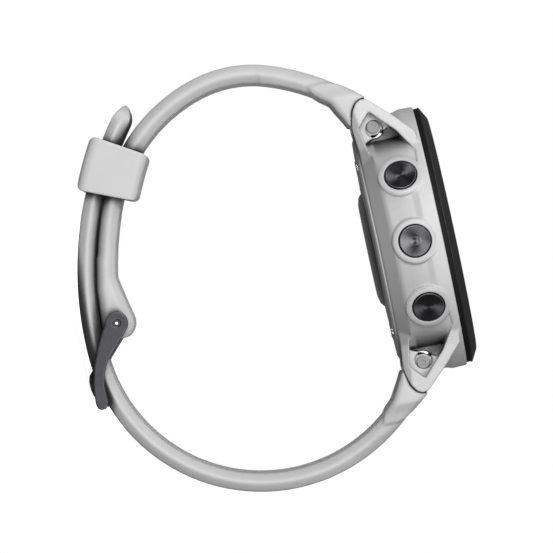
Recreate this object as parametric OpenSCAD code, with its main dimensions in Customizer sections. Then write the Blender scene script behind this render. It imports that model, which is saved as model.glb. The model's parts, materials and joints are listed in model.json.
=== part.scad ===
/* [Case] */
// Outer diameter at the bezel
case_d = 44; // [44:0.1:44.6]
// Height of the bezel's front above the sensor face
front_z = 14.5; // [14.4:0.1:15]
// Height of the joint between case and bezel gasket
seam_z = 12.35; // [12.3:0.05:12.4]
// Width of the bay that takes a strap end
bay_w = 22.3; // [22.2:0.1:22.4]

/* [Buttons] */
// Diameter of a button cap
cap_d = 5.4; // [5:0.1:5.4]
// Radius from the case axis to a cap's face
cap_face_r = 22.6; // [22.5:0.05:22.8]
// Inward travel of a button
press = 0.5; // [0.3:0.05:0.5]
// Height of the button axes above the sensor face
button_z = 7.7; // [7.6:0.05:7.8]

/* [Strap] */
// Width of the strap past its shoulders
strap_w = 20; // [19:0.1:20]
// Thickness of the free strap
strap_t = 3.2; // [3:0.05:3.2]
// Thickness of the tail where it lies over the other half
tail_t = 3.1; // [2.9:0.05:3.1]
// Pitch of the adjustment holes
hole_pitch = 5.6; // [5.4:0.1:5.8]
// Number of adjustment holes
hole_count = 11; // [7:1:11]

/* [Hidden] */
$fn = 64;
eps = 0.01;
case_r = case_d / 2;

// Buttons, by clock position: angle about +Z from +X
light_a = 150;
up_a = 180;
down_a = 210;
start_a = 30;
back_a = -30;
button_angles = [light_a, up_a, down_a, start_a, back_a];
cap_gap = 0.08;
cap_back_r = 20.9;
recess_r = 20.2;
spring_seat_r = 19.75;
stem_r = 0.9;
// Stem tip at rest: it meets the switch after the full travel
stem_tip_r = 17.05 + press;
clip_r = 18.35;
bushing_r = 1.5;
stem_gap = 0.05;

// Inside of the case
cavity_r = 19;
cavity_half_y = 17.2;
cavity_floor_z = 3.4;
back_ledge_z = 2.25;
boss_pcd_r = 16.2;
boss_angles = [60, 120, 240, 300];

// Bars that carry the strap ends
bar_y = 20.15;
bar_z = 5.0;
bar_r = 0.75;
bar_bore_r = 0.47;
knuckle_r = 1.5;
bay_clear_r = 1.9;
bay_top_z = 8.3;
lug_floor_x = 12.4;
lug_web_x = 11.75;
screw_hole_shift = 0.42;
screw_hole_r = 1.47;
screw_shank_r = 0.45;
screw_head_r = 0.98;
// Slot that each lug pocket has beside the case: its depth, its distance from the bar and its slant
pocket_slot_x = 9.6;
pocket_slot_edge = 1.55;
pocket_slot_slant = 25;

// Common centre of the two strap halves where they overlap
wrap = [15.8, -5.9];
tail_mid_r = 64;
upper_mid_r = 60.6;
// Buckle pivot, as [z, y]
pivot = [-43.8, -3.0];
arm_gap = 0.3;
arm_t = 1.4;

// ---- curves in the side plane, as [z, y] ----

// Point at a distance r and an angle a from c
function at(c, r, a) = c + r * [cos(a), sin(a)];

// Points on an arc about c
function arc(c, r, a0, a1, n) = [for (i = [0:n]) at(c, r, a0 + (a1 - a0) * i / n)];

// One step along a chain of arcs: [point, heading] after turning t degrees on radius r
function turned(p, h, r, t) =
  let (s = sign(t), c = p + s * r * [-sin(h), cos(h)])
  [c + s * r * [sin(h + t), -cos(h + t)], h + t];

// Stations [z, y, heading, half thickness] along a chain of arcs [length, radius, side, thickness at its end]
function stations(p, h, arcs, t0, i = 0, step = 1.6) =
  i >= len(arcs) ? [] :
  let (
    a = arcs[i], n = ceil(a[0] / step), total = a[2] * a[0] / a[1] * 180 / PI,
    here = [for (k = [(i == 0 ? 0 : 1):n])
      let (q = turned(p, h, a[1], total * k / n))
      [q[0][0], q[0][1], q[1], (t0 + (a[3] - t0) * k / n) / 2]],
    last = turned(p, h, a[1], total)
  )
  concat(here, stations(last[0], last[1], arcs, a[3], i + 1, step));

// One face of a strap: every station moved sideways by side times its half thickness
function face(st, side) = [for (s = st) [s[0], s[1]] + side * s[3] * [-sin(s[2]), cos(s[2])]];
function reversed(v) = [for (i = [len(v) - 1:-1:0]) v[i]];
function flipped(v) = [for (p = v) [p[0], -p[1]]];

// Both strap halves leave their lugs and run to -Z
upper_start = [0, 26.86];
upper_heading = 142.6;
upper_arcs = [
  [12, 36.8, 1, strap_t], [12.3, 20.2, 1, strap_t],
  [25.1, 27.6, 1, strap_t], [20.8, upper_mid_r, 1, strap_t]
];
tail_start = [0, -26.7];
tail_heading = 224.6;
tail_r = 28.3;
tail_l = 65;
tail_arcs = [[tail_l, tail_r, -1, tail_t], [33.4, 57, -1, tail_t], [7.6, 60, -1, tail_t]];
upper_stations = stations(upper_start, upper_heading, upper_arcs, strap_t);
tail_stations = stations(tail_start, tail_heading, tail_arcs, strap_t);

// Tip of the tail from its inner face to its outer one, as [length past the last station, side]
tip_l = 2.65;
tip_outline = [[0.7, -1.45], [1.5, -1.05], [2.2, -0.4], [2.6, 0.1], [tip_l, 0.5], [2.3, 0.8]];

function beyond(s, q) =
  [s[0], s[1]] + q[0] * [cos(s[2]), sin(s[2])] + q[1] * [-sin(s[2]), cos(s[2])];

tail_last = tail_stations[len(tail_stations) - 1];

// Strap end around the bar, seen from the side: from the outer face round the knuckle to the inner face
strap_end = concat(
  [[4.75, 25.0], [6.2, 23.3], [6.55, 21.9]],
  arc([bar_z, bar_y], knuckle_r, 20, -150, 12),
  [[3.1, 19.7], [1.95, 19.6], [1.6, 20.6], [0.75, 22.4], [-0.3, 24.2]]
);

// ---- helpers ----

// Extrudes a side outline drawn as [z, y] to a given width about x = 0
module side_slab(w) {
  rotate([0, 90, 0]) mirror([1, 0, 0]) linear_extrude(height = w, center = true) children();
}

// Extrudes a side outline from x = from to x = to
module side_span(from, to) {
  translate([(from + to) / 2, 0, 0]) side_slab(abs(to - from)) children();
}

// Places children with their +Z along the outward radius at angle a, at the button height
module on_button_axis(a) {
  translate([0, 0, button_z]) rotate([0, 0, a]) rotate([0, 90, 0]) children();
}

module ring(r_in, r_out, z0, z1) {
  translate([0, 0, z0]) difference() {
    cylinder(r = r_out, h = z1 - z0);
    translate([0, 0, -eps]) cylinder(r = r_in, h = z1 - z0 + 2 * eps);
  }
}

module disc(r, z0, z1) {
  translate([0, 0, z0]) cylinder(r = r, h = z1 - z0);
}

// Box between two corners
module block(a, b) {
  translate(a) cube(b - a);
}

// Copies children to both strap ends
module both_ends() {
  children();
  mirror([0, 1, 0]) children();
}

// Copies children to both sides
module both_sides() {
  children();
  mirror([1, 0, 0]) children();
}

module at_bosses() {
  for (a = boss_angles) rotate([0, 0, a]) translate([boss_pcd_r, 0, 0]) children();
}

// ---- case ----

module case_body() {
  rotate_extrude() polygon([
    [0, 1.8], [19.5, 1.8], [21.75, 3.9], [case_r, 4.4], [case_r + 0.05, 8.9],
    [case_r + 0.35, 9.9], [case_r + 0.3, seam_z], [0, seam_z]
  ]);
}

lug_outline = [
  [12.1, 12], [11.7, 18.0], [8.4, 21.55], [4.85, 24.9], [3.9, 25.05], [3.0, 24.6],
  [2.2, 23.4], [1.7, 21.8], [1.5, 20.4], [1.65, 18.8], [1.85, 16.5], [1.85, 12]
];
lug_plan = [
  [18.2, 12], [15.95, 15.1], [14.9, 18.2], [14.2, 21.5], [13.6, 26],
  [bay_w / 2, 26], [bay_w / 2, 12]
];
lug_section = [[bay_w / 2, 1.3], [12.9, 1.3], [15.3, 3.7], [19, 4.4], [19, 13], [bay_w / 2, 13]];
pocket_outline = [
  [4.75, 22.75], [2.55, 20.3], [3.45, 15.8], [4.3, 10.6], [10.6, 10.6], [11.1, 14.8], [8.6, 18.75]
];

module lug() {
  intersection() {
    side_span(bay_w / 2, 19) polygon(lug_outline);
    linear_extrude(height = 14) polygon(lug_plan);
    rotate([90, 0, 0]) mirror([0, 0, 1]) linear_extrude(height = 30) polygon(lug_section);
  }
}

// Round wall that the lug pockets are cut down to: flush beside the button, square to the lug at the bar
module pocket_wall() {
  translate([9.16, 7.11, 0]) disc(10.4, -1, 20);
}

module lug_pocket() {
  difference() {
    union() {
      side_span(lug_floor_x, 30) polygon(pocket_outline);
      side_span(pocket_slot_x, 30) intersection() {
        polygon(pocket_outline);
        translate([bar_z, bar_y]) rotate(pocket_slot_slant)
          translate([-20, -20 - pocket_slot_edge]) square([40, 20]);
      }
    }
    pocket_wall();
  }
}

// Seat of a bar screw: head recess, shank hole and the open crescent beside the strap's knuckle
module screw_seat() {
  shift = screw_hole_shift * [0, -cos(20), sin(20)];
  translate([0, bar_y, bar_z]) {
    translate([lug_web_x, 0, 0] + shift) rotate([0, 90, 0]) cylinder(r = screw_hole_r, h = 3);
    translate([10, 0, 0]) rotate([0, 90, 0]) cylinder(r = screw_shank_r + 0.05, h = 4);
    difference() {
      translate([bay_w / 2 - 0.5, 0, 0] + shift) rotate([0, 90, 0]) cylinder(r = screw_hole_r, h = 3);
      translate([10, 0, 0]) rotate([0, 90, 0]) cylinder(r = knuckle_r - 0.02, h = 5);
    }
  }
}

module strap_bay() {
  side_slab(bay_w) {
    translate([bar_z, bar_y]) circle(r = bay_clear_r);
    translate([-2, bar_y]) square([bay_top_z + 2, 10]);
    translate([-2, 18.95]) square([5.6, 10]);
  }
}

module button_hole(a) {
  on_button_axis(a) {
    translate([0, 0, 18]) cylinder(r = bushing_r, h = 6);
    translate([0, 0, spring_seat_r]) cylinder(r = 2.4, h = 4);
    translate([0, 0, recess_r]) cylinder(r = cap_d / 2 + cap_gap, h = 4);
    translate([0, 0, 21.7]) cylinder(r = 3.15, h = 4);
  }
}

module case_shell() {
  color("gainsboro") difference() {
    union() {
      case_body();
      both_sides() both_ends() lug();
      for (a = button_angles) on_button_axis(a) translate([0, 0, 19.5]) cylinder(r = 3.75, h = 2.85);
    }
    difference() {
      intersection() {
        disc(cavity_r, cavity_floor_z, 9.2);
        block([-30, -cavity_half_y, 0], [30, cavity_half_y, 20]);
      }
      at_bosses() disc(1.5, 0, 5.6);
    }
    disc(cavity_r, 9.2 - eps, 20);
    disc(19.1, 0, back_ledge_z);
    difference() {
      disc(16.8, 0, cavity_floor_z + eps);
      at_bosses() disc(1.5, 0, 5);
    }
    at_bosses() disc(0.8, 0, 5.0);
    both_ends() strap_bay();
    both_sides() both_ends() {
      lug_pocket();
      screw_seat();
    }
    for (a = button_angles) button_hole(a);
    // vent hole of the pressure sensor, between the lugs at 6 o'clock
    translate([7, -16, 10.6]) rotate([90, 0, 0]) cylinder(r = 0.4, h = 8);
  }
}

module case_back() {
  color("silver") difference() {
    rotate_extrude() polygon([
      [0, 0.95], [12, 0.95], [18.4, 1.2], [19, 1.5], [19, back_ledge_z - 0.02], [0, back_ledge_z - 0.02]
    ]);
    disc(9.9, 0, 3);
    // gasket groove, screw holes and the socket's opening
    ring(17.45, 18.05, 1.75, 3);
    at_bosses() {
      disc(0.85, 0, 3);
      disc(1.35, 0, 1.6);
    }
    block([-4.1, 11.3, 0], [4.1, 14.3, 3]);
  }
}

module back_gasket() {
  color("dimgray") ring(17.5, 18.0, 1.78, back_ledge_z - eps);
}

module back_screws() {
  color("lightgray") at_bosses() difference() {
    union() {
      disc(1.3, 1.05, 1.6 - eps);
      disc(0.75, 1.5, 4.8);
    }
    translate([0, 0, 0.9]) cylinder(r = 0.6, h = 0.5, $fn = 6);
  }
}

tick_w = 0.5;
tick_depth = 0.2;

module bezel() {
  color("dimgray") difference() {
    rotate_extrude() polygon([
      [16.9, 11.25], [18.8, 11.25], [18.8, seam_z + 0.75], [case_r, seam_z + 0.75],
      [case_r, seam_z + 1.0], [19.9, front_z], [18.1, front_z], [17.7, front_z - 0.4],
      [17.7, 12.5], [16.9, 12.5]
    ]);
    // hour ticks cut into the bezel's face
    for (i = [0:11]) rotate([0, 0, 30 * i])
      block([18.4, -tick_w / 2, front_z - tick_depth], [19.6, tick_w / 2, front_z + 1]);
  }
}

module bezel_gasket() {
  color("black") ring(18.85, case_r - 0.15, seam_z + eps, seam_z + 0.75 - eps);
}

module display_lens() {
  color("black") rotate_extrude() polygon([
    [0, 12.65], [17.62, 12.65], [17.62, front_z - 0.65], [17.3, front_z - 0.4], [0, front_z - 0.4]
  ]);
}

module lens_adhesive() {
  color("darkslategray") ring(16.95, 17.6, 12.5 + eps, 12.65 - eps);
}

module display_panel() {
  color("darkolivegreen") {
    disc(16.6, 11.35, 12.45);
    block([-4.5, -16.2, 10.9], [4.5, -14.6, 11.34]);
  }
}

module backlight_plate() {
  color("white") difference() {
    disc(16.6, 10.7, 11.33);
    block([-6.2, -18, 10], [6.2, -14.4, 12]);
  }
}

module inner_frame() {
  color("darkslategray") difference() {
    union() {
      ring(14.6, 15.3, 6.0, 9.9);
      disc(18.6, 9.85, 10.68);
      at_bosses() disc(1.5, 5.62, 9.9);
    }
    disc(11.5, 9.5, 11);
    for (a = button_angles) on_button_axis(a) translate([0, 0, 15.2]) cylinder(r = 2.6, h = 5);
    for (a = [90, 270]) rotate([0, 0, a]) block([cavity_half_y - 0.1, -9, 5], [20, 9, 9.15]);
  }
}

module main_board() {
  color("darkgreen") difference() {
    disc(14.5, 8.35, 9.05);
    block([-3, 13, 8], [3, 15, 10]);
  }
}

module board_shields() {
  color("lightgray") {
    block([-10, -1, 9.06], [0.5, 8, 9.75]);
    block([2, -8, 9.06], [10.5, 4, 9.75]);
    block([-9, -10, 9.06], [-0.5, -2.5, 9.75]);
  }
}

module battery() {
  color("steelblue") {
    block([-10, -10, 3.7], [10, 10, 8.0]);
    block([-4, 10 - eps, 6.2], [4, 11, 7.6]);
  }
}

module antenna_ring() {
  color("peru") difference() {
    ring(17.4, 18.7, 10.75, 11.2);
    block([-2, -20, 10], [2, -16, 12]);
  }
}

module vibration_motor() {
  color("lightgray") translate([13.1, -6.5, 3.5]) cylinder(r = 2.6, h = 2.2);
}

module piezo_sounder() {
  color("gold") translate([-13.1, 6.3, 3.5]) {
    cylinder(r = 2.6, h = 0.3);
    translate([0, 0, 0.3 - eps]) cylinder(r = 1.9, h = 0.25);
  }
}

module sensor_lens() {
  color("darkslategray") rotate_extrude() polygon([
    [0, 0], [7.9, 0], [9.1, 0.28], [9.75, 0.85], [9.75, 1.9], [8.8, 1.9], [8.8, 1.1], [0, 1.1]
  ]);
}

module sensor_board() {
  color("darkgreen") disc(9.4, 2.3, 3.0);
}

module sensor_leds() {
  color("palegreen") {
    // emitters in the middle, detectors round them
    for (a = [0:120:240]) rotate([0, 0, a]) translate([1.9, 0, 0])
      block([-0.7, -0.7, 1.45], [0.7, 0.7, 2.29]);
    for (a = [60:120:300]) rotate([0, 0, a]) translate([5, 0, 0])
      block([-1, -1.3, 1.45], [1, 1.3, 2.29]);
  }
}

// Rear charging socket at 12 o'clock
module charging_socket() {
  color("black") difference() {
    block([-4.0, 11.4, 1.15], [4.0, 14.2, 3.3]);
    block([-3.5, 11.9, 0], [3.5, 13.7, 2.4]);
  }
}

module charging_contacts() {
  color("gold") for (i = [-1.5:1:1.5]) translate([1.7 * i, 12.8, 0]) disc(0.45, 1.5, 2.4 - eps);
}

module button_rims() {
  color("whitesmoke") for (a = button_angles) on_button_axis(a)
    rotate_extrude() polygon([
      [cap_d / 2 + cap_gap, 21.72], [3.13, 21.72], [3.13, 22.42],
      [2.98, 22.55], [cap_d / 2 + cap_gap, 22.45]
    ]);
}

module button_bushings() {
  color("silver") for (a = button_angles) on_button_axis(a)
    ring(stem_r + stem_gap, bushing_r - eps, 19.05, 20.3);
}

module button_seals() {
  color("black") for (a = button_angles) on_button_axis(a) ring(stem_r + stem_gap, 1.35, 18.75, 19.04);
}

// Tact switches that the stems press
module button_switches() {
  color("gray") for (a = button_angles) on_button_axis(a) {
    translate([0, 0, 16.3]) cube([3.2, 3.2, 1.2], center = true);
    translate([0, 0, 16.85]) cylinder(r = 0.8, h = 0.1);
  }
}

module button(a) {
  color("dimgray") on_button_axis(a) {
    rotate_extrude() polygon([
      [0, cap_back_r], [cap_d / 2, cap_back_r], [cap_d / 2, cap_face_r - 0.3],
      [cap_d / 2 - 0.3, cap_face_r], [cap_d / 2 - 0.45, cap_face_r - 0.06], [0, cap_face_r - 0.14]
    ]);
    // stem with a groove for its clip
    translate([0, 0, clip_r + 0.3]) cylinder(r = stem_r, h = cap_back_r - clip_r - 0.3 + eps);
    translate([0, 0, clip_r - eps]) cylinder(r = 0.6, h = 0.3 + 2 * eps);
    translate([0, 0, stem_tip_r]) cylinder(r = stem_r, h = clip_r - stem_tip_r);
  }
}

module button_spring(a) {
  turns = 3;
  steps = 12 * turns;
  sides = 6;
  wire = 0.1;
  coil = 1.95;
  low = spring_seat_r + wire;
  high = cap_back_r - wire;
  points = [for (i = [0:steps], k = [0:sides - 1])
    let (t = 360 * turns * i / steps, u = 360 * k / sides, r = coil + wire * cos(u))
    [r * cos(t), r * sin(t), low + (high - low) * i / steps + wire * sin(u)]];
  walls = [for (i = [0:steps - 1], k = [0:sides - 1])
    let (n = (k + 1) % sides)
    [i * sides + k, (i + 1) * sides + k, (i + 1) * sides + n, i * sides + n]];
  ends = [[for (k = [0:sides - 1]) k], [for (k = [sides - 1:-1:0]) steps * sides + k]];
  color("silver") on_button_axis(a) polyhedron(points = points, faces = concat(walls, ends));
}

// Clip that keeps a stem from leaving its bore
module button_clip(a) {
  color("goldenrod") on_button_axis(a) difference() {
    ring(0.6, 1.6, clip_r + 0.02, clip_r + 0.28);
    translate([0, -0.45, clip_r - 1]) cube([3, 0.9, 3]);
  }
}

module light_button() button(light_a);
module up_button() button(up_a);
module down_button() button(down_a);
module start_button() button(start_a);
module back_button() button(back_a);
module light_spring() button_spring(light_a);
module up_spring() button_spring(up_a);
module down_spring() button_spring(down_a);
module start_spring() button_spring(start_a);
module back_spring() button_spring(back_a);
module light_clip() button_clip(light_a);
module up_clip() button_clip(up_a);
module down_clip() button_clip(down_a);
module start_clip() button_clip(start_a);
module back_clip() button_clip(back_a);

// ---- strap ----

shoulder_x = 13.3;
shoulder_end_z = -12;

// Front outline of a strap end: between the lugs, then the shoulders, then the taper to the strap's width
module strap_plan() {
  half = strap_w / 2;
  side = [
    [shoulder_x, 18], [shoulder_x, 26.0], [12.2, 27.4], [11.1, 29.3], [10.35, 31.4],
    [half, 33.5], [half, 60]
  ];
  other_side = reversed([for (p = side) [-p[0], p[1]]]);
  translate([0, 0, shoulder_end_z]) linear_extrude(height = 30) polygon(concat(side, other_side));
}

// A strap half from its side outline: full width only beyond the lugs, and tapered near them
module strap_body(outline) {
  half = strap_w / 2;
  intersection() {
    union() {
      side_slab(bay_w - 0.4) polygon(outline);
      side_slab(2 * shoulder_x) difference() {
        polygon(outline);
        offset_lug();
      }
    }
    union() {
      strap_plan();
      block([-half, -60, -60], [half, 60, shoulder_end_z + eps]);
    }
  }
}

// The lug's side outline grown by a small gap
module offset_lug() {
  polygon([[14, 10], [12, 19], [8.5, 21.9], [5.05, 25.1], [3.85, 25.25], [2.85, 24.75], [2.0, 23.5],
    [1.5, 21.85], [1.3, 20.4], [1.45, 18.8], [1.6, 10]]);
}

upper_points = concat(reversed(face(upper_stations, -1)), strap_end, face(upper_stations, 1));
tail_points = flipped(concat(
  reversed(face(tail_stations, 1)), flipped(strap_end), face(tail_stations, -1),
  [for (q = tip_outline) beyond(tail_last, q)]
));

module strap_upper() {
  color("gainsboro") difference() {
    union() {
      strap_body(upper_points);
      // thick end that carries the buckle
      side_slab(strap_w) polygon(concat(
        arc(pivot, 2.95, -70, 20, 6),
        [[-41.3, -0.8], [-41.95, 2.3], [-42.5, 5.5], [-43.0, 8.5], [-45, 8.5], [-46.1, 3], [-46.3, -1.5]],
        arc(pivot, 2.55, -170, -110, 3)
      ));
    }
    bar_bore();
    translate([0, pivot[1], pivot[0]]) rotate([0, 90, 0]) cylinder(r = 0.66, h = 40, center = true);
    // slot for the tongue's eye
    block([-1.4, pivot[1] - 5, pivot[0] - 4], [1.4, pivot[1] + 2.4, pivot[0] + 4]);
  }
}

module bar_bore() {
  translate([0, bar_y, bar_z]) rotate([0, 90, 0]) cylinder(r = bar_r + 0.03, h = 40, center = true);
}

// The tongue's hole lies on the tail's first arc, this far from its end
tongue_hole_s = 0.4;
// Where the first arc ends, as an angle below level
first_arc_end_a = tail_heading - 90 - tail_l / tail_r * 180 / PI;
hole_l = 3.5;
hole_w = 2.4;
// The rigid tongue crosses the tail at a slant, so its own hole is longer
tongue_hole_l = 5.6;
upper_holes = 5;

module adjustment_hole(l = hole_l) {
  translate([0, 0, -4]) linear_extrude(height = 8) {
    square([hole_w, l - hole_w], center = true);
    for (s = [-1, 1]) translate([0, s * (l - hole_w) / 2]) circle(r = hole_w / 2);
  }
}

// Places children on the tail's middle surface, an angle a above the wrap centre's level
module on_wrap(a) {
  translate([0, wrap[1], wrap[0]]) rotate([a, 0, 0]) translate([0, 0, -tail_mid_r]) children();
}

// Places children on the tail's first arc, a length s before its end
module on_first_arc(s) {
  c = at(tail_start, tail_r, tail_heading - 90);
  a = first_arc_end_a + s / tail_r * 180 / PI;
  translate([0, c[1], c[0]]) rotate([-a, 0, 0]) translate([0, 0, -tail_r]) children();
}

// What rounds the tail's tip in plan
module tip_corners() {
  half = strap_w / 2;
  translate([0, tail_last[1], tail_last[0]]) rotate([90 - tail_last[2], 0, 0]) translate([0, tip_l - 0.5, -4])
    linear_extrude(height = 8) difference() {
      translate([-half - 1, -6]) square([2 * half + 2, 8]);
      hull() for (s = [-1, 1]) translate([s * (half - 6.5), -6]) circle(r = 6.5, $fn = 48);
    }
}

module strap_tail() {
  color("gainsboro") difference() {
    mirror([0, 1, 0]) strap_body(tail_points);
    mirror([0, 1, 0]) bar_bore();
    for (i = [1:upper_holes]) {
      past_end = i * hole_pitch - tongue_hole_s;
      on_wrap(past_end / tail_mid_r * 180 / PI - first_arc_end_a) adjustment_hole();
    }
    on_first_arc(tongue_hole_s) adjustment_hole(tongue_hole_l);
    for (i = [1:hole_count - upper_holes - 1]) on_first_arc(tongue_hole_s + i * hole_pitch) adjustment_hole();
    tip_corners();
  }
}

module strap_bars() {
  color("silver") both_ends() translate([0, bar_y, bar_z]) rotate([0, 90, 0]) difference() {
    cylinder(r = bar_r, h = bay_w - 0.1, center = true);
    cylinder(r = bar_bore_r, h = 40, center = true);
  }
}

module bar_screws() {
  color("dimgray") both_sides() both_ends() translate([0, bar_y, bar_z]) rotate([0, 90, 0]) difference() {
    union() {
      translate([0, 0, 8.5]) cylinder(r = screw_shank_r, h = lug_web_x - 8.5 + eps);
      translate([0, 0, lug_web_x + 0.01]) cylinder(r = screw_head_r, h = 0.5);
    }
    translate([0, 0, lug_web_x + 0.3]) cylinder(r = 0.5, h = 1, $fn = 6);
  }
}

// ---- keeper ----

keeper_low_a = 23.0;
keeper_high_a = 31.1;
keeper_in_r = 57.5;
keeper_out_r = 66.0;
keeper_wall = 0.9;
keeper_side_wall = 1.3;
keeper_gap_x = 0.35;

module wrap_sector(r_in, r_out, a0, a1, w, round) {
  translate([0, wrap[1], wrap[0]]) rotate([0, 90, 0]) mirror([1, 0, 0])
    rotate([0, 0, 180 - a1]) rotate_extrude(angle = a1 - a0, $fn = 128)
      translate([r_in, 0]) rounded_box(r_out - r_in, w, round);
}

// Rectangle with round corners: x from 0 to l, centred on y
module rounded_box(l, w, r) {
  translate([0, r - w / 2]) square([l, w - 2 * r]);
  translate([r, -w / 2]) square([l - 2 * r, w]);
  for (x = [r, l - r], y = [-1, 1]) translate([x, y * (w / 2 - r)]) circle(r = r);
}

module keeper() {
  inner_w = strap_w + 2 * keeper_gap_x;
  color("lightgray") difference() {
    wrap_sector(keeper_in_r - keeper_wall, keeper_out_r + keeper_wall, keeper_low_a, keeper_high_a,
      inner_w + 2 * keeper_side_wall, 1.6);
    wrap_sector(keeper_in_r, keeper_out_r, keeper_low_a - 1, keeper_high_a + 1, inner_w, 0.4);
  }
}

// ---- buckle ----

arm_outline = concat(
  arc(pivot, 1.95, -35, 175, 14),
  [[-46.5, -4.0], [-47.8, -6.5], [-49.0, -9.4], [-49.65, -11.9], [-49.95, -14.0], [-50.05, -15.6]],
  [[-49.8, -16.4], [-49.3, -16.7], [-48.6, -16.7], [-48.1, -16.3], [-47.9, -15.4], [-47.95, -14.2]],
  [[-48.0, -12.8], [-47.5, -10.7]],
  [[-46.4, -8.6], [-44.4, -6.5]]
);

module buckle_frame() {
  x0 = strap_w / 2 + arm_gap;
  color("dimgray") difference() {
    union() {
      both_sides() side_span(x0, x0 + arm_t) polygon(arm_outline);
      side_slab(2 * x0 + eps) polygon([
        [-50.0, -13.5], [-50.0, -15.9], [-49.7, -16.3], [-49.2, -16.3], [-48.95, -15.9], [-49.08, -13.5]
      ]);
    }
    translate([0, pivot[1], pivot[0]]) rotate([0, 90, 0]) cylinder(r = 0.61, h = 40, center = true);
    // dent where the tongue's tip rests
    block([-1.6, -15.0, -51], [1.6, -12.6, -49.75]);
  }
}

module buckle_pin() {
  color("whitesmoke") translate([0, pivot[1], pivot[0]]) rotate([0, 90, 0])
    cylinder(r = 0.6, h = 2 * (strap_w / 2 + arm_gap + arm_t) - 0.1, center = true);
}

tongue_outline = [
  [-43.0, -4.3], [-46.1, -8.4], [-48.4, -10.0], [-49.25, -10.8], [-49.65, -12.0], [-49.75, -13.4],
  [-49.8, -14.4], [-50.4, -14.4], [-50.65, -13.2], [-50.7, -11.9], [-50.45, -10.8], [-49.6, -9.8],
  [-47.2, -7.9], [-45.0, -4.4]
];

module buckle_tongue() {
  color("dimgray") difference() {
    union() {
      side_slab(2.0) polygon(tongue_outline);
      translate([0, pivot[1], pivot[0]]) rotate([0, 90, 0]) cylinder(r = 1.45, h = 2.0, center = true);
    }
    translate([0, pivot[1], pivot[0]]) rotate([0, 90, 0]) cylinder(r = 0.64, h = 40, center = true);
  }
}

case_shell();
case_back();
back_gasket();
back_screws();
bezel();
bezel_gasket();
display_lens();
lens_adhesive();
display_panel();
backlight_plate();
inner_frame();
main_board();
board_shields();
battery();
antenna_ring();
vibration_motor();
piezo_sounder();
sensor_lens();
sensor_board();
sensor_leds();
charging_socket();
charging_contacts();
button_rims();
button_bushings();
button_seals();
button_switches();
light_button();
up_button();
down_button();
start_button();
back_button();
light_spring();
up_spring();
down_spring();
start_spring();
back_spring();
light_clip();
up_clip();
down_clip();
start_clip();
back_clip();
strap_upper();
strap_tail();
strap_bars();
bar_screws();
keeper();
buckle_frame();
buckle_pin();
buckle_tongue();
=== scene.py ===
import json
import math

import bmesh
import bpy
import numpy as np
from mathutils import Matrix, Vector
from mathutils.kdtree import KDTree


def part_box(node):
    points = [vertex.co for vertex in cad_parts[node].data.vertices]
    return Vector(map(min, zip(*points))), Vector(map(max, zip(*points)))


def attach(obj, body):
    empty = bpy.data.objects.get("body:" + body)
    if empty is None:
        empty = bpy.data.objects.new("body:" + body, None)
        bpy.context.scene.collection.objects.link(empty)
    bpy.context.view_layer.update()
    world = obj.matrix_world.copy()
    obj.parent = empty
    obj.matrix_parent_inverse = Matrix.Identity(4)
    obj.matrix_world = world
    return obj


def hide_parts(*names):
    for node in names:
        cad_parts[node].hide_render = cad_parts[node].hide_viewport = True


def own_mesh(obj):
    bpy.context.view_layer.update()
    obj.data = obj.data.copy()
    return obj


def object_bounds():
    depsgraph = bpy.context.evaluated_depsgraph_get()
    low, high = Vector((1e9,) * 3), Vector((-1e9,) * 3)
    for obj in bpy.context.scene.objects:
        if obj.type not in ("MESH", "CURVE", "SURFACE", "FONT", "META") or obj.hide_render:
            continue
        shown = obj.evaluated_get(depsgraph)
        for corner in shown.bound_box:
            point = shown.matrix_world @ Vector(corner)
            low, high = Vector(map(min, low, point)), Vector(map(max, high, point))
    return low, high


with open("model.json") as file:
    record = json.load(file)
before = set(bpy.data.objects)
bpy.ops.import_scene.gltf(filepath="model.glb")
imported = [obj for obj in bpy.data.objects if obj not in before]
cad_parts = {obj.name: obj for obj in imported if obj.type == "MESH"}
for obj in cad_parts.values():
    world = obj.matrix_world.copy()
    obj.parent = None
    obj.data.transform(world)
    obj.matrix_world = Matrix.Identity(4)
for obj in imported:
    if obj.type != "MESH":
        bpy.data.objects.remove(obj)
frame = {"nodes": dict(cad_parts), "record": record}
cad_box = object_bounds()

MM = 0.001
SLOT_OF = {part["node"]: part["material_slot"] for part in frame["record"]["subparts"]}
BODY_OF = {node: body for body, nodes in frame["record"]["behaviour"]["bodies"].items() for node in nodes}
PIN_LOW, PIN_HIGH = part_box("buckle_pin")
PIN_AT = (PIN_LOW + PIN_HIGH) / 2 / MM

# ---- camera, floor and lights ----

CAMERA_DISTANCE = 1.150
VIEW_WIDTH = 0.09349
CAMERA_LEAN = math.radians(12.1)
CAMERA_AIM = Vector((0, -0.00096, -0.0160))


def make_camera():
    """Looks along +X at the 9 o'clock side, with the display to the right and 12 o'clock up, leaning left."""
    data = bpy.data.cameras.new("camera")
    data.lens = data.sensor_width * CAMERA_DISTANCE / VIEW_WIDTH
    camera = bpy.data.objects.new("camera", data)
    right = Vector((0, -math.sin(CAMERA_LEAN), math.cos(CAMERA_LEAN)))
    up = Vector((0, math.cos(CAMERA_LEAN), math.sin(CAMERA_LEAN)))
    away = Vector((-1, 0, 0))
    turn = Matrix((right, up, away)).transposed().to_4x4()
    camera.matrix_world = Matrix.Translation(CAMERA_AIM + away * CAMERA_DISTANCE) @ turn
    bpy.context.scene.collection.objects.link(camera)
    bpy.context.scene.camera = camera


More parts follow.
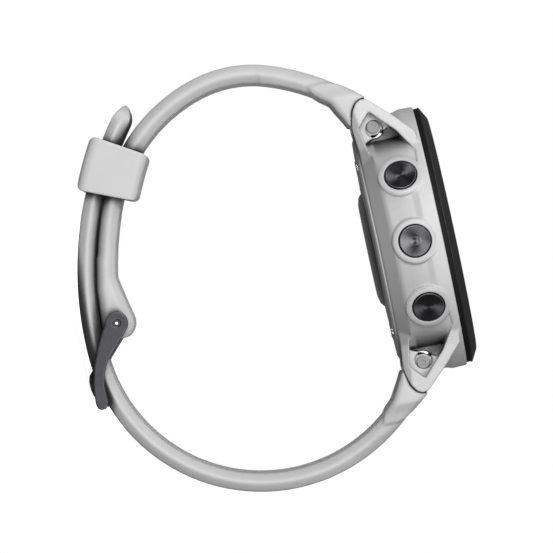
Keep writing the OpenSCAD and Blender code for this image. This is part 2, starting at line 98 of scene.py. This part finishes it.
def make_floor():
    """A pale disc just under the lowest point of the loop."""
    mesh = bpy.data.meshes.new("floor")
    bm = bmesh.new()
    bmesh.ops.create_circle(bm, cap_ends=True, segments=96, radius=0.16)
    bm.to_mesh(mesh)
    bm.free()
    floor = bpy.data.objects.new("floor", mesh)
    floor.location = (0, 0, cad_box[0].z - 0.2 * MM)
    floor.visible_diffuse = False
    floor.visible_glossy = False
    bpy.context.scene.collection.objects.link(floor)
    paper = bpy.data.materials.new("floor_paper")
    paper.use_nodes = True
    shader = paper.node_tree.nodes["Principled BSDF"]
    shader.inputs["Base Color"].default_value = (0.9, 0.9, 0.9, 1)
    shader.inputs["Roughness"].default_value = 0.9
    shader.inputs["Emission Color"].default_value = (1, 1, 1, 1)
    shader.inputs["Emission Strength"].default_value = 0.9
    mesh.materials.append(paper)


def make_world(seen, light):
    """White where it is seen, and a dimmer even light on the object."""
    world = bpy.data.worlds.new("studio")
    bpy.context.scene.world = world
    world.use_nodes = True
    nodes, links = world.node_tree.nodes, world.node_tree.links
    background = nodes["Background"]
    path = nodes.new("ShaderNodeLightPath")
    strength = nodes.new("ShaderNodeMapRange")
    strength.inputs["To Min"].default_value = light
    strength.inputs["To Max"].default_value = seen
    links.new(path.outputs["Is Camera Ray"], strength.inputs["Value"])
    links.new(strength.outputs["Result"], background.inputs["Strength"])
    background.inputs["Color"].default_value = (1, 1, 1, 1)


def softbox(name, place, size, watts, shine=True):
    """Area light at a place, aimed at the middle of the loop. Without shine it leaves no gloss."""
    data = bpy.data.lights.new(name, "AREA")
    data.size = size
    data.energy = watts
    lamp = bpy.data.objects.new(name, data)
    lamp.location = place
    lamp.visible_glossy = shine
    lamp.rotation_euler = (CAMERA_AIM - Vector(place)).to_track_quat("-Z", "Y").to_euler()
    bpy.context.scene.collection.objects.link(lamp)


def make_lights():
    """Two key lights from the camera's side, one over the display and one from behind for soft fill."""
    make_world(seen=1.0, light=0.14)
    softbox("key_high", (-0.60, 0.27, 0.12), 0.30, 3.7)
    softbox("key_low", (-0.60, -0.25, 0.10), 0.30, 2.1)
    softbox("face", (-0.05, 0.50, 0.45), 0.40, 1.2)
    softbox("far", (0.62, 0.0, 0.06), 0.40, 3.2, shine=False)
    bpy.context.scene.view_settings.view_transform = "Standard"


# ---- materials ----


def add(tree, kind, place, **values):
    """New node of that kind, with some of its settings and input values."""
    node = tree.nodes.new(kind)
    node.location = place
    for key, value in values.items():
        if hasattr(node, key):
            setattr(node, key, value)
        else:
            node.inputs[key.replace("_", " ").title()].default_value = value
    return node


# Colour sockets of a mix node
MIX_A, MIX_B, MIX_OUT = 6, 7, 2


def shade(colour, amount):
    """A colour scaled by a number, with full opacity."""
    return tuple(max(0.0, min(1.0, c * amount)) for c in colour) + (1,)


def multiplied(tree, paint, amount, place):
    """A colour output scaled by a number output."""
    node = add(tree, "ShaderNodeMix", place, data_type="RGBA", blend_type="MULTIPLY")
    node.inputs["Factor"].default_value = 1.0
    tree.links.new(paint, node.inputs[MIX_A])
    tree.links.new(amount, node.inputs[MIX_B])
    return node.outputs[MIX_OUT]


def mixed(tree, paint, colour, factor, place):
    """A colour output taken towards a fixed colour by a number output."""
    node = add(tree, "ShaderNodeMix", place, data_type="RGBA")
    node.inputs[MIX_B].default_value = colour
    tree.links.new(factor, node.inputs["Factor"])
    tree.links.new(paint, node.inputs[MIX_A])
    return node.outputs[MIX_OUT]


def stepped(tree, value, low, high, to_low, to_high, place):
    """A number output carried smoothly from one value to another between two bounds."""
    node = add(tree, "ShaderNodeMapRange", place, interpolation_type="SMOOTHSTEP")
    for socket, number in zip(("From Min", "From Max", "To Min", "To Max"), (low, high, to_low, to_high)):
        node.inputs[socket].default_value = number
    tree.links.new(value, node.inputs["Value"])
    return node.outputs["Result"]


def product(tree, values):
    """The product of several number outputs."""
    total = values[0]
    for value in values[1:]:
        node = add(tree, "ShaderNodeMath", (-400, 1200), operation="MULTIPLY")
        tree.links.new(total, node.inputs[0])
        tree.links.new(value, node.inputs[1])
        total = node.outputs["Value"]
    return total


def folded(tree, place):
    """Positions with X and Y made positive, and their parts."""
    fold = add(tree, "ShaderNodeVectorMath", (-1000, 1100), operation="ABSOLUTE")
    tree.links.new(place, fold.inputs[0])
    split = add(tree, "ShaderNodeSeparateXYZ", (-900, 900))
    tree.links.new(fold.outputs["Vector"], split.inputs["Vector"])
    return fold.outputs["Vector"], split.outputs


def distance_from(tree, position, point, axes):
    """Distance in metres from a point given in millimetres, along the axes that are marked 1."""
    offset = add(tree, "ShaderNodeVectorMath", (-900, 1500), operation="MULTIPLY_ADD")
    offset.inputs[1].default_value = axes
    offset.inputs[2].default_value = [-part * axis * MM for part, axis in zip(point, axes)]
    tree.links.new(position, offset.inputs[0])
    reach = add(tree, "ShaderNodeVectorMath", (-700, 1500), operation="LENGTH")
    tree.links.new(offset.outputs["Vector"], reach.inputs[0])
    return reach.outputs["Value"]


def case_wall_painted_shade(tree, place):
    """Painted shade: the case wall's colour is darkened towards its back and left full towards the bezel,
    between the lugs.
    """
    _, axes = folded(tree, place)
    low = stepped(tree, axes["Z"], 3.9 * MM, 13.0 * MM, 1, 0, (-600, 900))
    near = stepped(tree, axes["Y"], 16.0 * MM, 17.5 * MM, 1, 0, (-600, 1100))
    return stepped(tree, product(tree, [low, near]), 0, 1, 1, 0.70, (-150, 900))


# Each lug pocket's wall next to the case is an arc about this point, seen along Z
POCKET_WALL_AT = (9.16, 7.11, 0)
POCKET_WALL_R = 10.4


def pocket_painted_shade(tree, place):
    """Painted shade: the walls of the lug pockets are painted darker towards the bars, where the struts shade
    them.
    """
    position, axes = folded(tree, place)
    reach = distance_from(tree, position, POCKET_WALL_AT, (1, 1, 0))
    wall_r = POCKET_WALL_R * MM
    wall = stepped(tree, reach, wall_r + 0.15 * MM, wall_r + 0.4 * MM, 1, 0, (-500, 1500))
    far = stepped(tree, axes["Y"], 13.8 * MM, 18.3 * MM, 0, 1, (-500, 1700))
    above = stepped(tree, axes["Z"], 4.1 * MM, 4.7 * MM, 0, 1, (-500, 1900))
    below = stepped(tree, axes["Z"], 9.6 * MM, 10.8 * MM, 1, 0, (-500, 2100))
    return stepped(tree, product(tree, [wall, far, above, below]), 0, 1, 1, 0.22, (-150, 1700))


def mottled(tree, place, colour, vary, scale):
    """The colour, a little lighter and darker in patches."""
    patches = add(tree, "ShaderNodeTexNoise", (-900, 300), scale=scale, detail=4.0)
    tree.links.new(place, patches.inputs["Vector"])
    tint = add(tree, "ShaderNodeMix", (-600, 300), data_type="RGBA")
    tint.inputs[MIX_A].default_value = shade(colour, 1 - vary)
    tint.inputs[MIX_B].default_value = shade(colour, 1 + vary)
    tree.links.new(patches.outputs["Fac"], tint.inputs["Factor"])
    return tint.outputs[MIX_OUT]


def edge_painted_highlight(tree, paint, colour, edge):
    """Painted highlight: sharp outer edges taken towards a much lighter colour."""
    highlight = add(tree, "ShaderNodeMapRange", (-600, 600))
    highlight.inputs["From Min"].default_value = 0.53
    highlight.inputs["From Max"].default_value = 0.62
    highlight.inputs["To Max"].default_value = edge
    shape = add(tree, "ShaderNodeNewGeometry", (-900, 600))
    tree.links.new(shape.outputs["Pointiness"], highlight.inputs["Value"])
    return mixed(tree, paint, shade(colour, 4.0), highlight.outputs["Result"], (-300, 400))


def painted_hollow_shade(tree, paint, amount, deep, open_sky):
    """Painted shade: deep places, found by ambient occlusion, darkened by that amount, between two measures
    of how open they are.
    """
    sky = add(tree, "ShaderNodeAmbientOcclusion", (-300, 1200), samples=8)
    sky.inputs["Distance"].default_value = 4.0 * MM
    depth = stepped(tree, sky.outputs["AO"], deep, open_sky, 1 - amount, 1, (-100, 1200))
    return multiplied(tree, paint, depth, (200, 900))


def cored(tree, paint, place, radius, grey):
    """A lighter middle, that many millimetres in radius, along the buckle's pin."""
    reach = distance_from(tree, place, PIN_AT, (0, 1, 1))
    middle = stepped(tree, reach, radius * MM, (radius + 0.05) * MM, 1, 0, (-500, 1500))
    return mixed(tree, paint, (grey, grey, grey, 1), middle, (-300, 1500))


def painted_grazing_reflection(tree, paint, rim):
    """Painted reflection: glass taken towards a lighter colour where it is seen along its face."""
    along = add(tree, "ShaderNodeLayerWeight", (-300, 1500))
    along.inputs["Blend"].default_value = 0.6
    return mixed(tree, paint, shade(rim, 1), along.outputs["Facing"], (0, 1500))


def uneven_gloss(tree, place, rough, scale):
    """A roughness that changes a little from place to place."""
    gloss = add(tree, "ShaderNodeMapRange", (-600, 0))
    gloss.inputs["To Min"].default_value = rough * 0.85
    gloss.inputs["To Max"].default_value = min(1.0, rough * 1.15)
    smear = add(tree, "ShaderNodeTexNoise", (-900, 0), scale=scale * 3.0, detail=3.0)
    tree.links.new(place, smear.inputs["Vector"])
    tree.links.new(smear.outputs["Fac"], gloss.inputs["Value"])
    return gloss.outputs["Result"]


def bumped(tree, height, depth, place):
    """Bump node for a height output, that many millimetres deep."""
    bump = add(tree, "ShaderNodeBump", place)
    bump.inputs["Strength"].default_value = 1.0
    bump.inputs["Distance"].default_value = depth * MM
    tree.links.new(height, bump.inputs["Height"])
    return bump


def turned(tree, place, bump, shader, pitch, depth):
    """Fine grooves about Z, with their gloss drawn out along them."""
    groove = add(tree, "ShaderNodeTexWave", (-900, -600), wave_type="RINGS", rings_direction="Z",
                 scale=1 / (pitch * MM) / 20 * math.pi)
    tree.links.new(place, groove.inputs["Vector"])
    grooves = bumped(tree, groove.outputs["Fac"], depth, (-600, -600))
    tree.links.new(grooves.outputs["Normal"], bump.inputs["Normal"])
    tangent = add(tree, "ShaderNodeTangent", (-300, -600), direction_type="RADIAL", axis="Z")
    tree.links.new(tangent.outputs["Tangent"], shader.inputs["Tangent"])


def look(name, colour, rough, metal=0.0, vary=0.05, vary_scale=250.0, grain=0.006, grain_scale=7000.0,
         edge=0.0, hollows=None, shades=(), core=None, rim=None, rings=None, direct=()):
    """Material with a mottled colour, uneven gloss and a fine grain, its grain depth in millimetres.
    edge paints a highlight on sharp edges and hollows = (amount, deep, open) paints shade into deep places.
    shades are functions that give a number for every place to scale the colour by, to paint shade, core =
    (radius, grey) lightens the middle of the buckle's pin, rim paints a lighter reflection onto glass seen
    along its face, and rings = (pitch, depth) turns grooves about Z."""
    material = bpy.data.materials.new(name)
    material.use_nodes = True
    tree = material.node_tree
    shader = tree.nodes["Principled BSDF"]
    link = tree.links.new
    place = add(tree, "ShaderNodeTexCoord", (-1200, 0)).outputs["Object"]

    paint = mottled(tree, place, colour, vary, vary_scale)
    # Painted light in the colour: a highlight on sharp edges, shade by place and in deep places, and a
    # reflection on glass seen along its face.
    if edge:
        paint = edge_painted_highlight(tree, paint, colour, edge)
    for shading in shades:
        paint = multiplied(tree, paint, shading(tree, place), (0, 900))
    if hollows:
        paint = painted_hollow_shade(tree, paint, *hollows)
    if core:
        paint = cored(tree, paint, place, *core)
    if rim:
        paint = painted_grazing_reflection(tree, paint, rim)
    link(paint, shader.inputs["Base Color"])
    link(uneven_gloss(tree, place, rough, vary_scale), shader.inputs["Roughness"])

    relief = add(tree, "ShaderNodeTexNoise", (-900, -300), scale=grain_scale, detail=2.0)
    link(place, relief.inputs["Vector"])
    bump = bumped(tree, relief.outputs["Fac"], grain, (-300, -300))
    link(bump.outputs["Normal"], shader.inputs["Normal"])
    if rings:
        turned(tree, place, bump, shader, *rings)

    shader.inputs["Metallic"].default_value = metal
    for socket, value in direct:
        shader.inputs[socket].default_value = value
    return material


GREY = (0.485, 0.485, 0.49)
SOFT = (("Sheen Weight", 0.03), ("Sheen Roughness", 0.5), ("Specular IOR Level", 0.35))
STEEL = (0.58, 0.58, 0.60)

LOOKS = {
    # The case's colour carries painted shade: in deep places, towards the wall's back and in the lug pockets.
    "case_polymer": dict(colour=GREY, rough=0.45, grain=0.003, hollows=(0.85, 0.12, 0.72),
                         shades=(case_wall_painted_shade, pocket_painted_shade), direct=(("Specular IOR Level", 0.45),)),
    # The strap's colour carries painted shade in deep places, such as the groove between the overlapping
    # halves.
    "strap_silicone": dict(colour=GREY, rough=0.50, grain=0.003, grain_scale=5000.0,
                           hollows=(0.94, 0.48, 0.97), direct=SOFT),
    "back_polymer": dict(colour=(0.36, 0.36, 0.37), rough=0.5),
    "bezel_polymer": dict(colour=(0.018, 0.018, 0.019), rough=0.48, grain=0.004, vary=0.15,
                          direct=(("Specular IOR Level", 0.3),)),
    "gasket_black": dict(colour=(0.004, 0.004, 0.004), rough=0.7, direct=(("Specular IOR Level", 0.2),)),
    "lens_glass": dict(colour=(0.006, 0.006, 0.008), rough=0.06, grain=0.0002, vary=0.2,
                       direct=(("Coat Weight", 1.0), ("Coat Roughness", 0.03))),
    # The sensor window carries a painted reflection where it is seen along its face.
    "sensor_window": dict(colour=(0.010, 0.010, 0.012), rough=0.22, grain=0.0005, vary=0.2,
                          rim=(0.22, 0.22, 0.22), direct=(("Specular IOR Level", 0.3),)),
    "button_metal": dict(colour=(0.075, 0.075, 0.08), rough=0.34, metal=1.0, grain=0.0005, vary=0.1,
                         rings=(0.09, 0.0015), direct=(("Anisotropic", 0.85),)),
    # The collars' colour carries painted shade in deep places.
    "rim_metal": dict(colour=(0.43, 0.43, 0.435), rough=0.42, grain=0.001, hollows=(0.7, 0.1, 0.8)),
    # The buckle carries a painted highlight along its sharp edges.
    "buckle_metal": dict(colour=(0.052, 0.052, 0.058), rough=0.38, metal=0.55, grain=0.003, vary=0.12,
                         edge=0.35),
    "pin_steel": dict(colour=(0.045, 0.045, 0.05), rough=0.35, metal=0.5, grain=0.001, core=(0.22, 0.9)),
    "screw_dark": dict(colour=(0.20, 0.20, 0.20), rough=0.5, metal=0.6, grain=0.001),
    "bar_steel": dict(colour=STEEL, rough=0.30, metal=1.0, grain=0.001),
    "screw_steel": dict(colour=STEEL, rough=0.25, metal=1.0, grain=0.001),
    "spring_steel": dict(colour=(0.5, 0.5, 0.5), rough=0.25, metal=1.0, grain=0.0005),
    "clip_steel": dict(colour=(0.50, 0.47, 0.40), rough=0.35, metal=1.0, grain=0.001),
    "bushing_steel": dict(colour=STEEL, rough=0.3, metal=1.0, grain=0.001),
    "switch_metal": dict(colour=(0.6, 0.6, 0.57), rough=0.35, metal=0.9, grain=0.001),
    "shield_metal": dict(colour=(0.62, 0.62, 0.60), rough=0.35, metal=1.0, grain=0.002, grain_scale=3000.0),
    "motor_steel": dict(colour=STEEL, rough=0.25, metal=1.0, grain=0.001),
    "piezo_brass": dict(colour=(0.70, 0.52, 0.24), rough=0.35, metal=1.0, grain=0.001),
    "antenna_copper": dict(colour=(0.72, 0.40, 0.25), rough=0.30, metal=1.0, grain=0.001),
    "contact_gold": dict(colour=(0.83, 0.62, 0.28), rough=0.2, metal=1.0, grain=0.0005),
    "battery_foil": dict(colour=(0.55, 0.56, 0.58), rough=0.4, metal=0.7, grain=0.02, grain_scale=900.0),
    "board_green": dict(colour=(0.02, 0.12, 0.05), rough=0.35, vary=0.35, vary_scale=1500.0, grain=0.01,
                        grain_scale=1500.0),
    "display_cell": dict(colour=(0.03, 0.035, 0.03), rough=0.15, grain=0.0005),
    "diffuser_white": dict(colour=(0.80, 0.80, 0.80), rough=0.5),
    "frame_plastic": dict(colour=(0.05, 0.05, 0.055), rough=0.5),
    "adhesive_black": dict(colour=(0.02, 0.02, 0.02), rough=0.7),
    "seal_rubber": dict(colour=(0.02, 0.02, 0.02), rough=0.7),
    "socket_black": dict(colour=(0.03, 0.03, 0.03), rough=0.4),
    "led_clear": dict(colour=(0.45, 0.75, 0.45), rough=0.15, grain=0.0005),
}
MATERIALS = {slot: look(slot, **values) for slot, values in LOOKS.items()}


def paint_frame():
    """Every CAD node gets its slot's material in place of the plain one."""
    for name, node in frame["nodes"].items():
        node.data.materials.clear()
        node.data.materials.append(MATERIALS[SLOT_OF[name]])


# ---- mesh helpers ----


def place_piece(piece, node):
    """A piece takes a CAD node's material slot, body and place in the picture."""
    piece.data.materials.clear()
    piece.data.materials.append(MATERIALS[SLOT_OF[node]])
    piece.data.shade_smooth()
    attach(piece, BODY_OF[node])
    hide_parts(node)
    return piece


def new_piece(name, mesh):
    """A mesh as an object in the scene."""
    piece = bpy.data.objects.new(name, mesh)
    bpy.context.scene.collection.objects.link(piece)
    return piece


def remeshed(name, node, voxel):
    """Even mesh, of voxels that many millimetres wide, over the same solid as a CAD node."""
    mesh = frame["nodes"][node].data.copy()
    bm = bmesh.new()
    bm.from_mesh(mesh)
    bmesh.ops.remove_doubles(bm, verts=bm.verts, dist=0.0005 * MM)
    bm.to_mesh(mesh)
    bm.free()
    rough = new_piece(name, mesh)
    modifier = rough.modifiers.new("even", "REMESH")
    modifier.mode = "VOXEL"
    modifier.voxel_size = voxel * MM
    even = bpy.data.meshes.new_from_object(rough.evaluated_get(bpy.context.evaluated_depsgraph_get()))
    bpy.data.objects.remove(rough)
    return new_piece(name, even)


def points_of(mesh):
    """Every vertex's place, one row each."""
    flat = np.empty(len(mesh.vertices) * 3)
    mesh.vertices.foreach_get("co", flat)
    return flat.reshape(-1, 3)


def relax(mesh, rounds, weight=1.0):
    """Moves each point towards the middle of its neighbours, by half of the way times its weight."""
    ends = np.empty(len(mesh.edges) * 2, np.int64)
    mesh.edges.foreach_get("vertices", ends)
    a, b = ends[0::2], ends[1::2]
    count = len(mesh.vertices)
    degree = np.bincount(ends, minlength=count).clip(1)
    points = points_of(mesh)
    half = 0.5 * np.broadcast_to(weight, count)
    for _ in range(rounds):
        for axis in range(3):
            value = points[:, axis]
            total = np.bincount(a, value[b], count) + np.bincount(b, value[a], count)
            points[:, axis] = value + half * (total / degree - value)
    mesh.vertices.foreach_set("co", points.ravel())
    mesh.update()


def moulded(name, node, voxel, rounds):
    """A CAD node's solid with its edges softened."""
    piece = remeshed(name, node, voxel)
    relax(piece.data, rounds)
    return place_piece(piece, node)


def ramp(value, low, high):
    """0 below low, 1 above high, and smooth between."""
    t = np.clip((value - low) / (high - low), 0, 1)
    return t * t * (3 - 2 * t)


def skin(bm, rings):
    """Faces from each ring of points to the next. A ring may be one point."""
    for low, high in zip(rings, rings[1:]):
        sides = max(len(low), len(high))
        for k in range(sides):
            n = (k + 1) % sides
            corners = [low[k % len(low)], low[n % len(low)], high[n % len(high)], high[k % len(high)]]
            bm.faces.new(list(dict.fromkeys(corners)))


def outward_mesh(name, bm):
    """The mesh of a closed edit mesh, with its faces turned outward."""
    bmesh.ops.recalc_face_normals(bm, faces=bm.faces)
    mesh = bpy.data.meshes.new(name)
    bm.to_mesh(mesh)
    bm.free()
    return mesh


def lathe(name, profile, segments):
    """Solid turned about its own Z. profile is a list of (radius, height) that ends on the axis or where
    it started."""
    bm = bmesh.new()
    angles = [2 * math.pi * k / segments for k in range(segments)]
    rings = []
    for radius, height in profile:
        around = angles if radius else [0]
        points = [Vector((radius * math.cos(t), radius * math.sin(t), height)) * MM for t in around]
        rings.append([bm.verts.new(point) for point in points])
    skin(bm, rings)
    return new_piece(name, outward_mesh(name, bm))


# ---- case ----


def make_case_moulding():
    """The case, with the mouths of its four lug pockets eased into the case wall."""
    piece = remeshed("case_moulding", "case_shell", 0.15)
    points = points_of(piece.data) / MM
    x, y, z = np.abs(points[:, 0]), np.abs(points[:, 1]), points[:, 2]
    in_pocket = np.hypot(x - POCKET_WALL_AT[0], y - POCKET_WALL_AT[1]) < POCKET_WALL_R + 0.4
    along = ramp(y, 13.5, 16.0) * (1 - ramp(y, 18.3, 18.9))
    up = ramp(z, 4.2, 5.0) * (1 - ramp(z, 9.4, 10.4))
    relax(piece.data, 70, np.where(in_pocket & (x > 9.7), along * up, 0))
    relax(piece.data, 6)
    place_piece(piece, "case_shell")


def make_case():
    """The case moulding, the bezel and the sensor's window."""
    make_case_moulding()
    moulded("bezel_ring", "bezel", 0.12, 4)
    moulded("sensor_window", "sensor_lens", 0.12, 6)


# ---- buttons ----

BUTTON_ANGLES = {"light": 150, "up": 180, "down": 210, "start": 30, "back": -30}
UP_LOW, UP_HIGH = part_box("up_button")
BUTTON_Z = (UP_LOW.z + UP_HIGH.z) / 2 / MM
CAP_FACE = -UP_LOW.x / MM
CAP_R = (UP_HIGH.z - UP_LOW.z) / 2 / MM
STEM_TIP = -UP_HIGH.x / MM
CAP_BACK = CAP_FACE - 1.7
STEM_R = 0.9
STEM_CHAMFER = 0.12
# Groove that takes the stem's clip: its height on the stem, its width and the radius of its floor
GROOVE_AT = STEM_TIP + 0.8
GROOVE_WIDTH = 0.3
GROOVE_R = 0.6


def button_frame(clock_angle):
    """Local +Z points outward along a button's axis."""
    turn = Matrix.Rotation(math.radians(clock_angle), 4, "Z") @ Matrix.Rotation(math.radians(90), 4, "Y")
    return Matrix.Translation((0, 0, BUTTON_Z * MM)) @ turn


def cap_profile():
    """Stem with its clip groove, then the cap: rounded edge, dished face with a raised ring."""
    profile = [(0, STEM_TIP), (STEM_R - STEM_CHAMFER, STEM_TIP), (STEM_R, STEM_TIP + STEM_CHAMFER)]
    profile += [(STEM_R, GROOVE_AT), (GROOVE_R, GROOVE_AT)]
    profile += [(GROOVE_R, GROOVE_AT + GROOVE_WIDTH), (STEM_R, GROOVE_AT + GROOVE_WIDTH)]
    profile += [(STEM_R, CAP_BACK), (CAP_R, CAP_BACK)]
    fillet = 0.22
    for k in range(9):
        t = math.pi / 2 * k / 8
        profile.append((CAP_R - fillet + fillet * math.cos(t), CAP_FACE - fillet + fillet * math.sin(t)))
    face_r = CAP_R - fillet
    dish, ring_height, ring_r, ring_width = 0.12, 0.012, 0.8, 0.2
    steps = 60
    for k in range(steps, -1, -1):
        radius = face_r * k / steps
        sunk = dish * (1 - (radius / face_r) ** 2)
        ring = ring_height * math.exp(-((radius - ring_r) / ring_width) ** 2)
        profile.append((radius, CAP_FACE - sunk + ring))
    return profile


def make_spring(name, clock_angle):
    """Wire coil between its seat in the case and the back of the cap, with flat end turns."""
    wire, coil, turns = 0.1, 1.95, 4
    sides, steps = 10, 160
    seat = -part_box("up_spring")[1].x / MM
    free = CAP_BACK - seat - 2 * wire
    bm = bmesh.new()
    rings = []
    for i in range(steps + 1):
        turn = 2 * math.pi * turns * i / steps
        middle = seat + wire + free * ramp(i / steps, 0.08, 0.92)
        ring = []
        for k in range(sides):
            u = 2 * math.pi * k / sides
            r = coil + wire * math.cos(u)
            height = middle + wire * math.sin(u)
            ring.append(bm.verts.new(Vector((r * math.cos(turn), r * math.sin(turn), height)) * MM))
        rings.append(ring)
    skin(bm, rings)
    bm.faces.new(rings[0])
    bm.faces.new(list(reversed(rings[-1])))
    mesh = outward_mesh(name, bm)
    mesh.transform(button_frame(clock_angle))
    return new_piece(name, mesh), seat


COLLAR_WIDTH = 0.98
COLLAR_DEPTH = 0.75
COLLAR_LIP = 0.16


def make_collars():
    """The soft raised rims round the five caps, one mesh, each flush with the case at its foot."""
    inner = CAP_R + 0.08
    outer = inner + COLLAR_WIDTH
    top = CAP_FACE - 0.12
    section = [(inner, top - COLLAR_DEPTH), (inner, top - COLLAR_LIP)]
    for k in range(1, 13):
        t = k / 12
        crown = math.sin(math.pi * min(1, 0.3 + 0.7 * t))
        section.append((inner + COLLAR_WIDTH * t, top + COLLAR_LIP * (crown - 1) - 0.1 * t))
    section += [(outer, top - COLLAR_DEPTH), section[0]]
    single = lathe("one_collar", section, 96)
    bm = bmesh.new()
    for clock_angle in BUTTON_ANGLES.values():
        mesh = single.data.copy()
        mesh.transform(button_frame(clock_angle))
        bm.from_mesh(mesh)
    bmesh.ops.remove_doubles(bm, verts=bm.verts, dist=0.0005 * MM)
    joined = outward_mesh("button_collars", bm)
    bpy.data.objects.remove(single)
    place_piece(new_piece("button_collars", joined), "button_rims")


def make_buttons():
    """Five caps with their springs and collars."""
    make_collars()
    for button, clock_angle in BUTTON_ANGLES.items():
        cap = lathe(f"{button}_cap", cap_profile(), 96)
        cap.matrix_world = button_frame(clock_angle)
        place_piece(cap, f"{button}_button")
        spring, seat = make_spring(f"{button}_coil", clock_angle)
        place_piece(spring, f"{button}_spring")
        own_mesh(spring)


# ---- strap, keeper and buckle ----

# Common centre of the two strap halves where they overlap
WRAP_AT = Vector((0, -5.9, 15.8))
STRAP_HALF = 10.0
# Heights between which the sloped edges fade out towards the lugs
SHOULDER_Z = (-7.0, 1.0)
# Distances from the middle between which the strap has neither holes nor shoulders
PLAIN_X = (3.5, 6.0)
PIN_BORE_R = 1.0
EDGE_REACH = 2.5
SHOULDER_SWELL = 0.28


def depth_in_outline(points, near_edge):
    """Distance in millimetres from each long-edge point to the strap's faces, seen from the side."""
    x, y, z = np.abs(points[:, 0]), points[:, 1], points[:, 2]
    in_bore = np.hypot(y - PIN_AT.y, z - PIN_AT.z) < PIN_BORE_R
    outline = np.flatnonzero((x > PLAIN_X[0]) & (x < PLAIN_X[1]) & ~in_bore)
    tree = KDTree(len(outline))
    for index in outline:
        tree.insert((y[index], z[index], 0), int(index))
    tree.balance()
    return np.array([tree.find((y[index], z[index], 0))[2] for index in near_edge])


def chamfer(mesh, size):
    """Slopes the strap's long edges at 45 degrees, fully on the free strap and little at the lugs."""
    points = points_of(mesh) / MM
    near_edge = np.flatnonzero(np.abs(points[:, 0]) > STRAP_HALF - EDGE_REACH)
    x, z = np.abs(points[near_edge, 0]), points[near_edge, 2]
    cut = size * (1 - 0.7 * ramp(z, *SHOULDER_Z)) - depth_in_outline(points, near_edge)
    shift = np.maximum(0, cut) * ramp(x, STRAP_HALF - EDGE_REACH, STRAP_HALF - 0.3)
    points[near_edge, 0] -= np.sign(points[near_edge, 0]) * shift
    mesh.vertices.foreach_set("co", (points * MM).ravel())
    mesh.update()


def swell_shoulders(mesh, amount):
    """Pushes the shoulders beside the lugs out along their normals, which narrows the seam there."""
    points = points_of(mesh)
    normals = np.empty(len(points) * 3)
    mesh.vertices.foreach_get("normal", normals)
    reach = ramp(np.abs(points[:, 0]) / MM, 11.0, 11.5)
    points += normals.reshape(-1, 3) * (reach * amount * MM)[:, None]
    mesh.vertices.foreach_set("co", points.ravel())
    mesh.update()


def make_strap(name, node, size):
    """A strap half with sloped long edges and softly rounded holes."""
    piece = remeshed(name, node, 0.2)
    chamfer(piece.data, size)
    relax(piece.data, 9)
    swell_shoulders(piece.data, SHOULDER_SWELL)
    return place_piece(piece, node)


KEEPER_CORNER = 1.1


def make_keeper():
    """The keeper's loop with its four side corners rounded about the strap's wrap centre."""
    piece = remeshed("keeper_loop", "keeper", 0.12)
    points = points_of(piece.data) / MM
    y, z = points[:, 1] - WRAP_AT.y, WRAP_AT.z - points[:, 2]
    radius, angle = np.hypot(y, z), np.arctan2(y, z)
    mid_r, mid_a = (radius.min() + radius.max()) / 2, (angle.min() + angle.max()) / 2
    across, along = radius - mid_r, (angle - mid_a) * mid_r
    half_across, half_along = np.abs(across).max(), np.abs(along).max()
    past_across = np.maximum(0, np.abs(across) - half_across + KEEPER_CORNER)
    past_along = np.maximum(0, np.abs(along) - half_along + KEEPER_CORNER)
    past = np.hypot(past_across, past_along)
    pull = np.where(past > KEEPER_CORNER, 1 - KEEPER_CORNER / np.maximum(past, KEEPER_CORNER), 0)
    radius = radius - np.sign(across) * past_across * pull
    angle = angle - np.sign(along) * past_along * pull / mid_r
    points[:, 1] = WRAP_AT.y + radius * np.sin(angle)
    points[:, 2] = WRAP_AT.z - radius * np.cos(angle)
    piece.data.vertices.foreach_set("co", (points * MM).ravel())
    relax(piece.data, 12)
    place_piece(piece, "keeper")


def make_strap_parts():
    """The two strap halves, the keeper, and the buckle with its tongue."""
    make_strap("strap_long_top", "strap_upper", 1.25)
    make_strap("strap_tail_soft", "strap_tail", 1.35)
    make_keeper()
    moulded("buckle_bow", "buckle_frame", 0.10, 7)
    moulded("buckle_prong", "buckle_tongue", 0.08, 6)


make_camera()
make_floor()
make_lights()
paint_frame()
make_case()
make_buttons()
make_strap_parts()
